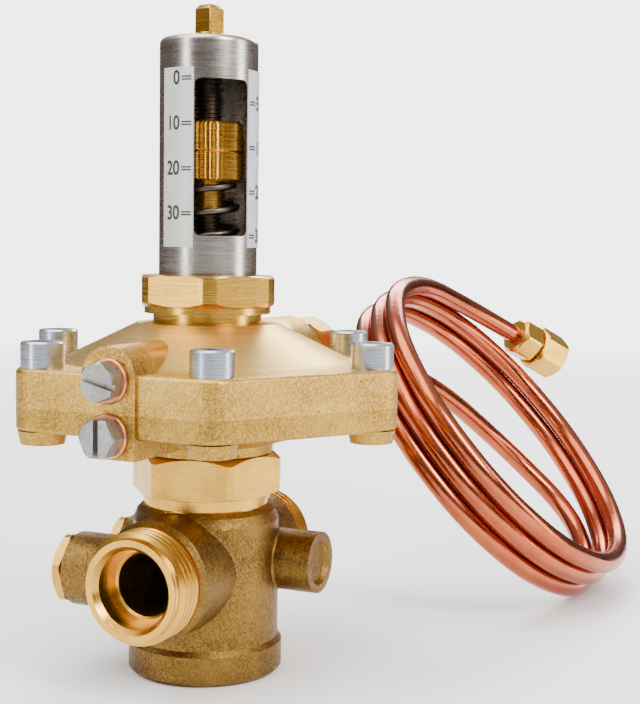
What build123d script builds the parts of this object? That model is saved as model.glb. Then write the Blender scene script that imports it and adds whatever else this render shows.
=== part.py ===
"""Direct-acting three-way differential pressure valve with a setpoint spring and an impulse tube.

Frame: +Z runs up the spindle, and the origin is the centre of the bottom port's face.
The two threaded side ports face -Y and +Y.  All sizes are in millimetres.
"""
from build123d import *
from math import cos, pi, radians, sin, tan
import os

# ---------------------------------------------------------------- driving dimensions
PORT_Z = 27.0              # height of the side ports' common axis
PORT_REACH = 36.0          # valve axis to each side port's sealing face
THREAD_R = 13.22           # G 3/4 pipe thread, major radius on the front port
REAR_THREAD_R = 13.05      # the same thread at the low end of class B on the rear port
THREAD_PITCH = 1.814
THREAD_DEPTH = 1.16
PORT_BORE_R = 7.5          # DN 15 waterway
UNION_R = 9.2              # counterbore that centres a union tail
BOTTOM_THREAD_R = 12.06    # G 3/4 female thread, minor radius
BOTTOM_THREAD_LENGTH = 13.0

BODY_R = 18.1              # cast body
BODY_BAND_R = 19.1         # reinforcing band round the bottom port
BODY_BAND_TOP = 8.0
BODY_SHOULDER_Z = 41.6
BODY_TOP_Z = 43.4
CHAMBER_R = 11.0           # mixing chamber between the two seats
BONNET_THREAD_R = 12.5
LOWER_SEAT_Z = 16.0
UPPER_SEAT_Z = 35.0
SEAT_BORE_R = 7.9

HEX_BOTTOM_Z = 44.4        # bonnet hexagon
HEX_TOP_Z = 54.8
BONNET_AF = 33.0
BONNET_TURNED_R = 18.6
BONNET_CORNER_DEG = 16.0   # where the bonnet's corners stopped when it was tightened

BOLT_CIRCLE_R = 44.0       # diaphragm housing
BOLT_COUNT = 6
CORNER_R = 6.0
FLANGE_BOTTOM_Z = 62.8
PARTING_Z = 68.3
FLANGE_TOP_Z = 77.2
CONE_TOP_Z = 86.5
CONE_TOP_R = 17.4
CONE_FOOT_R = 36.5
CHAMBER_WALL_R = 33.0
DIAPHRAGM_R = 37.5
DIAPHRAGM_T = 0.8
PLATE_R = 24.0
SCREW_BOSS_BOTTOM_Z = 59.7

VENT_FACE = 45.0           # flat that the vent screws seal on, from the axis
VENT_WIDTH = 13.5
UPPER_VENT_Z = 75.8
LOWER_VENT_Z = 63.6
IMPULSE_FACE = 47.0        # flat that the impulse adapter seals on, from the axis
IMPULSE_Z = 77.3

TOP_NUT_AF = 32.0          # hexagon nut that carries the spring tube
TOP_NUT_TURNED_R = 17.6
TOP_NUT_Z = (86.5, 88.9, 90.5, 98.2)
TUBE_R = 12.0
TUBE_WALL = 1.2
TUBE_FOOT_Z = 92.0
TUBE_TOP_Z = 155.3
WINDOW_DEG = -45.0         # the window looks out between the front port and the blind boss
WINDOW_HALF_DEG = 33.0
WINDOW_Z = (107.7, 144.8)
LABEL_T = 0.25
LABEL_Z = (105.0, 147.4)
LABEL_OFFSET_DEG = 55.5
LABEL_SPAN_DEG = 43.0

SPINDLE_R = 3.2            # setpoint spindle and nut
NUT_R = 8.4
NUT_Z = (120.9, 135.3)
NUT_NECK_R = 4.0
NUT_NECK_BOTTOM = 113.6
KNURL_COUNT = 48
SPRING_R = 7.0             # mean radius of the setpoint spring
SPRING_WIRE_R = 0.7
SPRING_FOOT_Z = 80.0
SPRING_TURNS = 7

STEM_R = 2.5
GUIDE_R = 2.56             # running clearance round the stem
TUBE_OD_R = 3.0            # impulse tube, 6 mm copper
COIL_R = 52.3
COIL_PITCH = 6.25
COIL_TILT_DEG = 41.0       # the coil's axis, up from +X
COIL_CENTRE = (41.8, 112.9, 49.4)
COIL_START_DEG = -18.8
COIL_STEP_DEG = 30.0
COIL_STEPS = 33
COIL_FIRST_RISE = -9.3
FAR_TAIL = 28.0            # straight tube from the coil's last corner to the far coupling

os.makedirs("parts", exist_ok=True)


def save(piece, name):
    """Label a finished piece and write its STEP file."""
    piece.part.label = name
    export_step(piece.part, f"parts/{name}.step")


def ring(outer, inner, bottom, top):
    """Add a plain round collar, or a disc where inner is 0, on the valve's axis."""
    with BuildSketch(Plane.XY.offset(bottom)) as section:
        Circle(outer)
        if inner:
            Circle(inner, mode=Mode.SUBTRACT)
    extrude(section.sketch, amount=top - bottom)


def bore(radius, bottom, top):
    """Cut a round hole on the valve's axis."""
    with BuildSketch(Plane.XY.offset(bottom)) as section:
        Circle(radius)
    extrude(section.sketch, amount=top - bottom, mode=Mode.SUBTRACT)


def turn(points, mode=Mode.ADD, plane=Plane.XY):
    """Revolve a closed outline of (radius, height) points about the plane's normal."""
    with BuildSketch(plane * Plane.XZ) as section:
        with BuildLine():
            Polyline(*points, close=True)
        make_face()
    revolve(section.sketch, axis=Axis(plane.origin, plane.z_dir), mode=mode)


def rod(plane, radius, length, mode=Mode.ADD):
    """Add or cut a round bar that starts on the plane."""
    with BuildSketch(plane) as section:
        Circle(radius)
    extrude(section.sketch, amount=length, mode=mode)


def hexagon_bar(plane, across_flats, length, corner_deg):
    """Add a hexagonal bar with one corner at corner_deg round the plane's x axis."""
    with BuildSketch(plane) as section:
        RegularPolygon(across_flats / 2, 6, major_radius=False, rotation=corner_deg)
    extrude(section.sketch, amount=length)


def turned_limit(plane, radius, length, low_drop, high_drop, flat_r):
    """Keep only what a lathe leaves of a hexagon: both end faces chamfered down to flat_r."""
    turn(
        [
            (0, 0),
            (flat_r, 0),
            (radius, low_drop),
            (radius, length - high_drop),
            (flat_r, length),
            (0, length),
        ],
        Mode.INTERSECT,
        plane,
    )


def housing_prism(bottom, top):
    """Add the diaphragm housing's hexagonal flange, rounded about its six screws."""
    corner = BOLT_CIRCLE_R + CORNER_R / cos(radians(30))
    with BuildSketch(Plane.XY.offset(bottom)) as section:
        with BuildLine():
            FilletPolyline(
                *[Vector(corner, 0).rotate(Axis.Z, 60 * k) for k in range(BOLT_COUNT)],
                radius=CORNER_R,
                close=True,
            )
        make_face()
    extrude(section.sketch, amount=top - bottom)


# ---------------------------------------------------------------- valve body
def thread_outline(start, crests, crest_r):
    """Outline (radius, distance) of a pipe thread cut as rings, from its first root outwards."""
    crest_flat = 0.45
    root_flat = 0.25
    flank = (THREAD_PITCH - crest_flat - root_flat) / 2
    root_r = THREAD_R - THREAD_DEPTH
    outline = []
    for k in range(crests):
        foot = start + k * THREAD_PITCH + root_flat
        outline.append((root_r, foot))
        outline.append((crest_r, foot + flank))
        outline.append((crest_r, foot + flank + crest_flat))
        outline.append((root_r, foot + 2 * flank + crest_flat))
    return outline


def port_plane(direction):
    """The plane through the valve's axis that a side port stands on."""
    return Plane((0, 0, PORT_Z), x_dir=(1, 0, 0), z_dir=(0, direction, 0))


def tapping_plane(side):
    """The plane through the valve's axis that a tapping boss on -X stands on."""
    return Plane((0, side * 12.5, 24.5), x_dir=(0, 1, 0), z_dir=(-1, 0, 0))


NECK_R = 14.3
NECK_END = 26.6
THREAD_START = 26.9
FACE_R = 11.8
UNION_FLOOR = 29.2
UNION_CHAMFER = 1.5
COLLAR_R = 15.3
UPPER_CHAMBER_Z = 37.0
FAR_WALL = 13.6
BLIND_BOSS = Plane((0, 8.0, 27.5), x_dir=(0, 1, 0), z_dir=(1, 0, 0))
BLIND_BOSS_R = 7.6
BLIND_BOSS_REACH = 27.8
BLIND_DISH_R = 5.6
BLIND_DISH_DEPTH = 1.1
TAPPING_R = 9.1
TAPPING_REACH = 28.6
PLUG_THREAD_R = 5.8
PLUG_DEPTH = 7.0
CAST_FILLET = 0.6
RIM_FILLET = 1.1

with BuildPart() as valve_body:
    turn(
        [
            (0, 0),
            (BODY_BAND_R - 1.2, 0),
            (BODY_BAND_R, 1.2),
            (BODY_BAND_R, BODY_BAND_TOP - 0.6),
            (BODY_R, BODY_BAND_TOP + 0.6),
            (BODY_R, BODY_SHOULDER_Z - 3.6),
            (BODY_R - 1.0, BODY_SHOULDER_Z - 1.2),
            (COLLAR_R + 0.6, BODY_SHOULDER_Z),
            (COLLAR_R, BODY_SHOULDER_Z),
            (COLLAR_R, BODY_TOP_Z),
            (0, BODY_TOP_Z),
        ]
    )
    for direction in (-1, 1):
        turn(
            [
                (0, 0),
                (NECK_R, 0),
                (NECK_R, NECK_END - 1.2),
                (NECK_R - 1.2, NECK_END),
                (0, NECK_END),
            ],
            plane=port_plane(direction),
        )
    # one blind boss on +X, and two drilled and plugged bosses on -X
    rod(BLIND_BOSS, BLIND_BOSS_R, BLIND_BOSS_REACH)
    with BuildSketch(BLIND_BOSS.offset(BLIND_BOSS_REACH)):
        Circle(BLIND_DISH_R)
    extrude(amount=-BLIND_DISH_DEPTH, taper=40, mode=Mode.SUBTRACT)
    for side in (-1, 1):
        rod(tapping_plane(side), TAPPING_R, TAPPING_REACH)
    # cast fillets where the necks and bosses meet the body
    seams = valve_body.edges().filter_by(
        lambda edge: edge.geom_type not in (GeomType.CIRCLE, GeomType.LINE)
    )
    fillet(seams, CAST_FILLET)
    for direction, crest_r in ((-1, THREAD_R), (1, REAR_THREAD_R)):
        turn(
            [
                (0, NECK_END - 1.0),
                (THREAD_R - THREAD_DEPTH, NECK_END - 1.0),
                *thread_outline(THREAD_START, 4, crest_r),
                (THREAD_R - THREAD_DEPTH, PORT_REACH - 1.1),
                (FACE_R, PORT_REACH - 0.6),
                (FACE_R, PORT_REACH),
                (0, PORT_REACH),
            ],
            plane=port_plane(direction),
        )
    # bottom port, lower seat, mixing chamber, upper seat and bonnet thread
    bore(BOTTOM_THREAD_R, 0, BOTTOM_THREAD_LENGTH)
    turn([(0, 0), (13.1, 0), (BOTTOM_THREAD_R, 1.04), (0, 1.04)], Mode.SUBTRACT)
    bore(SEAT_BORE_R, BOTTOM_THREAD_LENGTH, LOWER_SEAT_Z)
    bore(CHAMBER_R, LOWER_SEAT_Z, UPPER_SEAT_Z)
    bore(SEAT_BORE_R, UPPER_SEAT_Z, UPPER_CHAMBER_Z)
    bore(BONNET_THREAD_R, UPPER_CHAMBER_Z, BODY_TOP_Z)
    # the front port opens into the chamber, and the far one rises to above the upper seat
    for direction, inner_end in ((-1, 6.0), (1, FAR_WALL)):
        turn(
            [
                (0, inner_end),
                (PORT_BORE_R, inner_end),
                (PORT_BORE_R, UNION_FLOOR - 0.5),
                (PORT_BORE_R + 0.5, UNION_FLOOR),
                (UNION_R, UNION_FLOOR),
                (UNION_R, PORT_REACH - UNION_CHAMFER),
                (UNION_R + 1.1, PORT_REACH),
                (0, PORT_REACH),
            ],
            Mode.SUBTRACT,
            port_plane(direction),
        )
    with BuildSketch(Plane.XY.offset(PORT_Z)):
        with Locations((0, FAR_WALL + 1.1)):
            Rectangle(10.0, 2.2)
    extrude(amount=12.4, mode=Mode.SUBTRACT)
    with BuildSketch(Plane.XY.offset(UPPER_CHAMBER_Z)):
        with Locations((0, FAR_WALL - 0.8)):
            Rectangle(10.0, 6.0)
    extrude(amount=2.4, mode=Mode.SUBTRACT)
    # drilled tapping points behind the two plugs
    for side in (-1, 1):
        mouth = tapping_plane(side).offset(TAPPING_REACH)
        rod(mouth, PLUG_THREAD_R, -PLUG_DEPTH, Mode.SUBTRACT)
        rod(mouth, 1.5, -24.0, Mode.SUBTRACT)
save(valve_body, "valve_body")

# ---------------------------------------------------------------- tapping plugs
SEAL_T = 0.6
for side, name in ((-1, "front_tapping_plug"), (1, "rear_tapping_plug")):
    face = tapping_plane(side).offset(TAPPING_REACH + SEAL_T)
    with BuildPart() as tapping_plug:
        hexagon_bar(face, 16.0, 3.0, 10)
        turned_limit(face, 8.9, 3.0, 0.2, 0.9, 7.6)
        rod(face, PLUG_THREAD_R - 0.05, -(PLUG_DEPTH - 0.6))
        with BuildSketch(face.offset(3.0)):
            Rectangle(1.6, 20.0)
        extrude(amount=-1.2, mode=Mode.SUBTRACT)
    save(tapping_plug, name)

with BuildPart() as tapping_seals:
    for side in (-1, 1):
        rod(tapping_plane(side).offset(TAPPING_REACH), 7.9, SEAL_T)
        rod(tapping_plane(side).offset(TAPPING_REACH), PLUG_THREAD_R, SEAL_T, Mode.SUBTRACT)
save(tapping_seals, "tapping_seals")

# ---------------------------------------------------------------- bonnet and stem guide
BONNET_SPIGOT_R = 9.0
BONNET_SEAL_T = 0.5
BONNET_SPIGOT_TOP = 60.5
GLAND_R = 5.0
GLAND_FLOOR_Z = 46.0
GUIDE_TOP_Z = 55.0
SEAL_TOP_Z = 57.5

with BuildPart() as bonnet:
    hex_plane = Plane.XY.offset(HEX_BOTTOM_Z)
    hexagon_bar(hex_plane, BONNET_AF, HEX_TOP_Z - HEX_BOTTOM_Z, BONNET_CORNER_DEG)
    turned_limit(hex_plane, BONNET_TURNED_R, HEX_TOP_Z - HEX_BOTTOM_Z, 0.9, 1.6, 15.9)
    ring(15.8, 0, BODY_TOP_Z, HEX_BOTTOM_Z)
    ring(BONNET_THREAD_R - 0.05, 0, 39.6, BODY_TOP_Z)
    ring(BONNET_SPIGOT_R, 0, HEX_TOP_Z, BONNET_SPIGOT_TOP)
    bore(10.0, 39.6, 42.0)
    bore(GUIDE_R, 42.0, GLAND_FLOOR_Z)
    bore(GLAND_R, GLAND_FLOOR_Z, BONNET_SPIGOT_TOP)
    with BuildSketch(Plane.XY.offset(BODY_TOP_Z)):
        Circle(14.6)
        Circle(BONNET_THREAD_R - 0.05, mode=Mode.SUBTRACT)
    extrude(amount=BONNET_SEAL_T, mode=Mode.SUBTRACT)
save(bonnet, "bonnet")

with BuildPart() as bonnet_seal:
    ring(14.5, BONNET_THREAD_R, BODY_TOP_Z, BODY_TOP_Z + BONNET_SEAL_T)
save(bonnet_seal, "bonnet_seal")

with BuildPart() as stem_guide:
    ring(GLAND_R - 0.04, GUIDE_R, GLAND_FLOOR_Z, GUIDE_TOP_Z)
save(stem_guide, "stem_guide")

with BuildPart() as stem_seal:
    ring(GLAND_R - 0.04, GUIDE_R, GUIDE_TOP_Z, SEAL_TOP_Z)
    chamfer(stem_seal.edges().filter_by(GeomType.CIRCLE), 0.35)
save(stem_seal, "stem_seal")

with BuildPart() as gland_screw:
    ring(GLAND_R - 0.04, GUIDE_R + 0.1, SEAL_TOP_Z, BONNET_SPIGOT_TOP - 0.2)
    with BuildSketch(Plane.XY.offset(BONNET_SPIGOT_TOP - 0.2)):
        Rectangle(20.0, 1.2)
    extrude(amount=-1.0, mode=Mode.SUBTRACT)
save(gland_screw, "gland_screw")

# ---------------------------------------------------------------- stem and plug
PLUG_R = 9.3
PLUG_BOTTOM_Z = 16.05
PLUG_TOP_Z = 31.4
PLUG_WAIST_R = 4.5
PLUG_HUB_R = 3.6
RUBBER_T = 1.05
DISC_T = 2.5
STEM_FOOT_Z = 18.0
STEM_TOP_Z = 78.0
STEM_COLLAR_Z = (65.3, 66.8)
STEM_HOLE_R = STEM_R + 0.02

with BuildPart() as valve_plug:
    turn(
        [
            (0, PLUG_BOTTOM_Z + 0.1),
            (PLUG_HUB_R, PLUG_BOTTOM_Z + 0.1),
            (PLUG_HUB_R, PLUG_BOTTOM_Z + RUBBER_T),
            (PLUG_R, PLUG_BOTTOM_Z + RUBBER_T),
            (PLUG_R, PLUG_BOTTOM_Z + RUBBER_T + DISC_T),
            (PLUG_WAIST_R, PLUG_BOTTOM_Z + RUBBER_T + DISC_T + 1.5),
            (PLUG_WAIST_R, PLUG_TOP_Z - RUBBER_T - DISC_T - 1.5),
            (PLUG_R, PLUG_TOP_Z - RUBBER_T - DISC_T),
            (PLUG_R, PLUG_TOP_Z - RUBBER_T),
            (PLUG_HUB_R, PLUG_TOP_Z - RUBBER_T),
            (PLUG_HUB_R, PLUG_TOP_Z - 0.1),
            (0, PLUG_TOP_Z - 0.1),
        ]
    )
    bore(STEM_HOLE_R, STEM_FOOT_Z, PLUG_TOP_Z)
save(valve_plug, "valve_plug")

with BuildPart() as plug_seals:
    ring(PLUG_R, PLUG_HUB_R, PLUG_BOTTOM_Z, PLUG_BOTTOM_Z + RUBBER_T)
    ring(PLUG_R, PLUG_HUB_R, PLUG_TOP_Z - RUBBER_T, PLUG_TOP_Z)
save(plug_seals, "plug_seals")

with BuildPart() as valve_stem:
    ring(STEM_R, 0, STEM_FOOT_Z, STEM_TOP_Z)
    ring(4.2, 0, *STEM_COLLAR_Z)
    chamfer(valve_stem.faces().sort_by(Axis.Z)[-1].edges(), 0.4)
save(valve_stem, "valve_stem")

# ---------------------------------------------------------------- diaphragm housing
HUB_R = 16.5
HUB_TOP_Z = 57.0
TAPPED_R = 3.02
CLEARANCE_R = 3.3
SCREW_TIP_Z = 61.2
VENT_R = 3.05
VENT_DEPTH = 8.0
PINHOLE_R = 1.25
COVER_BORE_R = 10.0
IMPULSE_BOSS_R = 8.8
IMPULSE_HOLE_R = 4.9
IMPULSE_DEPTH = 9.0
RECESS_R = DIAPHRAGM_R + 0.1


def screw_places():
    """The six housing screws, on the housing's corners."""
    return PolarLocations(BOLT_CIRCLE_R, BOLT_COUNT)


def vent_plane(height):
    """The flat that a vent screw seals on, looking out along -Y."""
    return Plane((0, -VENT_FACE, height), x_dir=(1, 0, 0), z_dir=(0, -1, 0))


def vent_hole(height):
    """Cut the tapped hole of a vent screw and the fine hole behind it."""
    rod(vent_plane(height), VENT_R, -VENT_DEPTH, Mode.SUBTRACT)
    rod(vent_plane(height), PINHOLE_R, -(VENT_FACE - 21.0), Mode.SUBTRACT)


with BuildPart() as lower_cover:
    housing_prism(FLANGE_BOTTOM_Z, PARTING_Z)
    fillet(lower_cover.edges().group_by(Axis.Z)[0], RIM_FILLET)
    turn(
        [
            (0, HEX_TOP_Z),
            (HUB_R, HEX_TOP_Z),
            (HUB_R, HUB_TOP_Z),
            (CONE_FOOT_R, FLANGE_BOTTOM_Z),
            (CONE_FOOT_R, PARTING_Z),
            (0, PARTING_Z),
        ]
    )
    with BuildSketch(Plane.XY.offset(FLANGE_BOTTOM_Z)):
        with screw_places():
            Circle(CORNER_R - 0.3)
    extrude(amount=SCREW_BOSS_BOTTOM_Z - FLANGE_BOTTOM_Z, taper=12)
    with BuildSketch(vent_plane(PARTING_Z)):
        with Locations((0, -4.95)):
            Rectangle(VENT_WIDTH, 9.9)
        fillet(vertices().sort_by(Axis.Z)[:2], 2.5)
    extrude(amount=-(VENT_FACE - 20.0))
    turn(
        [
            (0, HEX_TOP_Z),
            (BONNET_SPIGOT_R + 0.05, HEX_TOP_Z),
            (BONNET_SPIGOT_R + 0.05, 61.0),
            (14.0, 61.0),
            (CHAMBER_WALL_R, 66.3),
            (CHAMBER_WALL_R, PARTING_Z),
            (0, PARTING_Z),
        ],
        Mode.SUBTRACT,
    )
    with BuildSketch(Plane.XY.offset(PARTING_Z)):
        with screw_places():
            Circle(TAPPED_R)
    extrude(amount=SCREW_TIP_Z - 0.4 - PARTING_Z, mode=Mode.SUBTRACT)
    vent_hole(LOWER_VENT_Z)
save(lower_cover, "lower_cover")

with BuildPart() as upper_cover:
    housing_prism(PARTING_Z, FLANGE_TOP_Z)
    fillet(upper_cover.edges().group_by(Axis.Z)[-1], RIM_FILLET)
    turn(
        [
            (0, PARTING_Z),
            (CONE_FOOT_R, PARTING_Z),
            (CONE_FOOT_R, FLANGE_TOP_Z),
            (CONE_TOP_R + 0.8, CONE_TOP_Z - 0.4),
            (CONE_TOP_R, CONE_TOP_Z),
            (0, CONE_TOP_Z),
        ]
    )
    # vent boss, arched over the upper vent screw
    arch_z = UPPER_VENT_Z + 0.9
    rod(vent_plane(arch_z), VENT_WIDTH / 2, -(VENT_FACE - 22.0))
    with BuildSketch(vent_plane(PARTING_Z)):
        with Locations((0, (arch_z - PARTING_Z) / 2)):
            Rectangle(VENT_WIDTH, arch_z - PARTING_Z)
    extrude(amount=-(VENT_FACE - 22.0))
    # impulse boss on the opposite side
    impulse_plane = Plane((0, IMPULSE_FACE, IMPULSE_Z), x_dir=(1, 0, 0), z_dir=(0, 1, 0))
    rod(impulse_plane, IMPULSE_BOSS_R, -(IMPULSE_FACE - 20.0))
    with BuildSketch(Plane.XY.offset(PARTING_Z)):
        with Locations((0, (IMPULSE_FACE + 20.0) / 2)):
            Rectangle(2 * IMPULSE_BOSS_R, IMPULSE_FACE - 20.0)
    extrude(amount=IMPULSE_Z - PARTING_Z)
    turn(
        [
            (0, PARTING_Z),
            (RECESS_R, PARTING_Z),
            (RECESS_R, PARTING_Z + DIAPHRAGM_T),
            (CHAMBER_WALL_R, PARTING_Z + DIAPHRAGM_T),
            (CHAMBER_WALL_R, 72.5),
            (30.0, 76.0),
            (15.5, 82.3),
            (COVER_BORE_R, 82.3),
            (COVER_BORE_R, CONE_TOP_Z),
            (0, CONE_TOP_Z),
        ],
        Mode.SUBTRACT,
    )
    with BuildSketch(Plane.XY.offset(PARTING_Z)):
        with screw_places():
            Circle(CLEARANCE_R)
    extrude(amount=FLANGE_TOP_Z - PARTING_Z, mode=Mode.SUBTRACT)
    vent_hole(UPPER_VENT_Z)
    rod(impulse_plane, IMPULSE_HOLE_R, -IMPULSE_DEPTH, Mode.SUBTRACT)
    rod(impulse_plane, 2.0, -(IMPULSE_FACE - 22.0), Mode.SUBTRACT)
save(upper_cover, "upper_cover")

HEAD_R = 5.0
HEAD_HEIGHT = 6.0
with BuildPart() as cover_screws:
    head_top = FLANGE_TOP_Z + HEAD_HEIGHT
    with BuildSketch(Plane.XY.offset(FLANGE_TOP_Z)):
        with screw_places():
            Circle(HEAD_R)
    extrude(amount=HEAD_HEIGHT)
    chamfer(cover_screws.faces().filter_by(Axis.Z).group_by(Axis.Z)[-1].edges(), 0.4)
    with BuildSketch(Plane.XY.offset(FLANGE_TOP_Z)):
        with screw_places():
            Circle(TAPPED_R - 0.04)
    extrude(amount=SCREW_TIP_Z - FLANGE_TOP_Z)
    with BuildSketch(Plane.XY.offset(head_top)):
        with screw_places():
            RegularPolygon(2.5, 6, major_radius=False)
    extrude(amount=-3.0, mode=Mode.SUBTRACT)
save(cover_screws, "cover_screws")

# ---------------------------------------------------------------- diaphragm group
ROLL_R = (25.4, 32.4)      # the rolled ring that lets the diaphragm rise and fall
ROLL_RISE = 2.6

with BuildPart() as diaphragm:
    roll_mid = (ROLL_R[0] + ROLL_R[1]) / 2
    with BuildSketch(Plane.XZ):
        with BuildLine():
            Polyline((STEM_HOLE_R, PARTING_Z), (ROLL_R[0], PARTING_Z))
            ThreePointArc(
                (ROLL_R[0], PARTING_Z), (roll_mid, PARTING_Z + ROLL_RISE), (ROLL_R[1], PARTING_Z)
            )
            Polyline(
                (ROLL_R[1], PARTING_Z),
                (DIAPHRAGM_R, PARTING_Z),
                (DIAPHRAGM_R, PARTING_Z + DIAPHRAGM_T),
                (ROLL_R[1] + 0.5, PARTING_Z + DIAPHRAGM_T),
            )
            ThreePointArc(
                (ROLL_R[1] + 0.5, PARTING_Z + DIAPHRAGM_T),
                (roll_mid, PARTING_Z + ROLL_RISE + DIAPHRAGM_T),
                (ROLL_R[0] - 0.5, PARTING_Z + DIAPHRAGM_T),
            )
            Polyline(
                (ROLL_R[0] - 0.5, PARTING_Z + DIAPHRAGM_T),
                (STEM_HOLE_R, PARTING_Z + DIAPHRAGM_T),
                (STEM_HOLE_R, PARTING_Z),
            )
        make_face()
    revolve(axis=Axis.Z)
save(diaphragm, "diaphragm")

PLATE_T = 1.5
UPPER_PLATE_Z = PARTING_Z + DIAPHRAGM_T
with BuildPart() as lower_plate:
    ring(PLATE_R, STEM_HOLE_R, PARTING_Z - PLATE_T, PARTING_Z)
save(lower_plate, "lower_plate")

with BuildPart() as upper_plate:
    ring(PLATE_R, STEM_HOLE_R, UPPER_PLATE_Z, UPPER_PLATE_Z + PLATE_T)
save(upper_plate, "upper_plate")

with BuildPart() as stem_nut:
    nut_plane = Plane.XY.offset(UPPER_PLATE_Z + PLATE_T)
    hexagon_bar(nut_plane, 8.0, 3.6, 0)
    turned_limit(nut_plane, 4.5, 3.6, 0.3, 0.3, 3.9)
    rod(nut_plane, STEM_HOLE_R, 3.6, Mode.SUBTRACT)
save(stem_nut, "stem_nut")

SEAT_DISC_R = 8.2
with BuildPart() as spring_seat:
    ring(4.2, 0, 75.0, SPRING_FOOT_Z - 1.5)
    ring(SEAT_DISC_R, 0, SPRING_FOOT_Z - 1.5, SPRING_FOOT_Z)
    ring(SPRING_R - SPRING_WIRE_R - 0.6, 0, SPRING_FOOT_Z, SPRING_FOOT_Z + 3.0)
    bore(STEM_HOLE_R, 75.0, STEM_TOP_Z + 0.1)
    chamfer(spring_seat.faces().sort_by(Axis.Z)[-1].edges(), 0.8)
save(spring_seat, "spring_seat")

# ---------------------------------------------------------------- spring tube and setpoint gear
TUBE_INNER_R = TUBE_R - TUBE_WALL
TUBE_LID = 1.5
JOURNAL_R = 3.3
JOURNAL_HOLE_R = JOURNAL_R + 0.06

with BuildPart() as top_nut:
    spigot_z, neck_z, collar_z, top_z = 82.4, TOP_NUT_Z[0], TOP_NUT_Z[1], TOP_NUT_Z[3]
    hex_plane = Plane.XY.offset(TOP_NUT_Z[2])
    hexagon_bar(hex_plane, TOP_NUT_AF, top_z - TOP_NUT_Z[2], 60)
    turned_limit(hex_plane, TOP_NUT_TURNED_R, top_z - TOP_NUT_Z[2], 1.2, 0.6, 15.6)
    ring(15.5, 0, collar_z, TOP_NUT_Z[2])
    ring(13.3, 0, neck_z, collar_z)
    ring(COVER_BORE_R - 0.05, 0, spigot_z, neck_z)
    bore(8.8, spigot_z, TUBE_FOOT_Z)
    bore(TUBE_R + 0.02, TUBE_FOOT_Z, top_z)
save(top_nut, "top_nut")

with BuildPart() as spring_tube:
    ring(TUBE_R, 0, TUBE_FOOT_Z, TUBE_TOP_Z)
    fillet(spring_tube.faces().sort_by(Axis.Z)[-1].edges(), 1.5)
    bore(TUBE_INNER_R, TUBE_FOOT_Z, TUBE_TOP_Z - TUBE_LID)
    bore(JOURNAL_HOLE_R, TUBE_TOP_Z - TUBE_LID, TUBE_TOP_Z)
    window_dir = Vector(1, 0, 0).rotate(Axis.Z, WINDOW_DEG)
    window_z = (WINDOW_Z[0] + WINDOW_Z[1]) / 2
    window_plane = Plane((0, 0, window_z), x_dir=window_dir.rotate(Axis.Z, 90), z_dir=window_dir)
    with BuildSketch(window_plane):
        RectangleRounded(
            2 * TUBE_R * sin(radians(WINDOW_HALF_DEG)), WINDOW_Z[1] - WINDOW_Z[0], 1.5
        )
    extrude(amount=TUBE_R + 1.0, mode=Mode.SUBTRACT)
save(spring_tube, "spring_tube")

for side, name in ((-1, "left_scale_label"), (1, "right_scale_label")):
    middle = WINDOW_DEG + side * LABEL_OFFSET_DEG
    with BuildPart() as scale_label:
        with BuildSketch(Plane.XY.offset(LABEL_Z[0])):
            with BuildLine():
                CenterArc((0, 0), TUBE_R, middle - LABEL_SPAN_DEG / 2, LABEL_SPAN_DEG)
                CenterArc((0, 0), TUBE_R + LABEL_T, middle - LABEL_SPAN_DEG / 2, LABEL_SPAN_DEG)
                for edge_deg in (middle - LABEL_SPAN_DEG / 2, middle + LABEL_SPAN_DEG / 2):
                    Line(
                        Vector(TUBE_R, 0).rotate(Axis.Z, edge_deg),
                        Vector(TUBE_R + LABEL_T, 0).rotate(Axis.Z, edge_deg),
                    )
            make_face()
        extrude(amount=LABEL_Z[1] - LABEL_Z[0])
    save(scale_label, name)

THRUST_TOP_Z = TUBE_TOP_Z - TUBE_LID
THRUST_T = 0.5
with BuildPart() as thrust_washer:
    ring(6.8, JOURNAL_HOLE_R, THRUST_TOP_Z - THRUST_T, THRUST_TOP_Z)
save(thrust_washer, "thrust_washer")

SQUARE_AF = 5.0
PIN_TOP_Z = 163.6
with BuildPart() as adjusting_spindle:
    pin_plane = Plane.XY.offset(156.8)
    pin_length = PIN_TOP_Z - 156.8
    with BuildSketch(pin_plane):
        Rectangle(SQUARE_AF, SQUARE_AF, rotation=-15)
    extrude(amount=pin_length)
    turned_limit(pin_plane, 3.35, pin_length, 0.01, 1.2, 2.3)
    collar_top = THRUST_TOP_Z - THRUST_T - 0.06
    ring(JOURNAL_R, 0, collar_top, 156.8)
    ring(5.4, 0, 152.15, collar_top)
    ring(SPINDLE_R, 0, 97.0, 152.15)
    chamfer(adjusting_spindle.faces().sort_by(Axis.Z)[0].edges(), 0.8)
save(adjusting_spindle, "adjusting_spindle")

with BuildPart() as retaining_ring:
    ring(5.0, JOURNAL_R + 0.01, TUBE_TOP_Z + 0.05, TUBE_TOP_Z + 0.85)
    with BuildSketch(Plane.XY.offset(TUBE_TOP_Z)):
        with Locations((6.0, 0)):
            Rectangle(12.0, 2.4)
    extrude(amount=1.0, mode=Mode.SUBTRACT)
save(retaining_ring, "retaining_ring")


def knurl_outline():
    """Points of a straight knurl: one tooth and one root for each of the nut's ribs."""
    step = 180 / KNURL_COUNT
    return [
        Vector(NUT_R - 0.45 * (k % 2), 0).rotate(Axis.Z, k * step) for k in range(2 * KNURL_COUNT)
    ]


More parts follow.
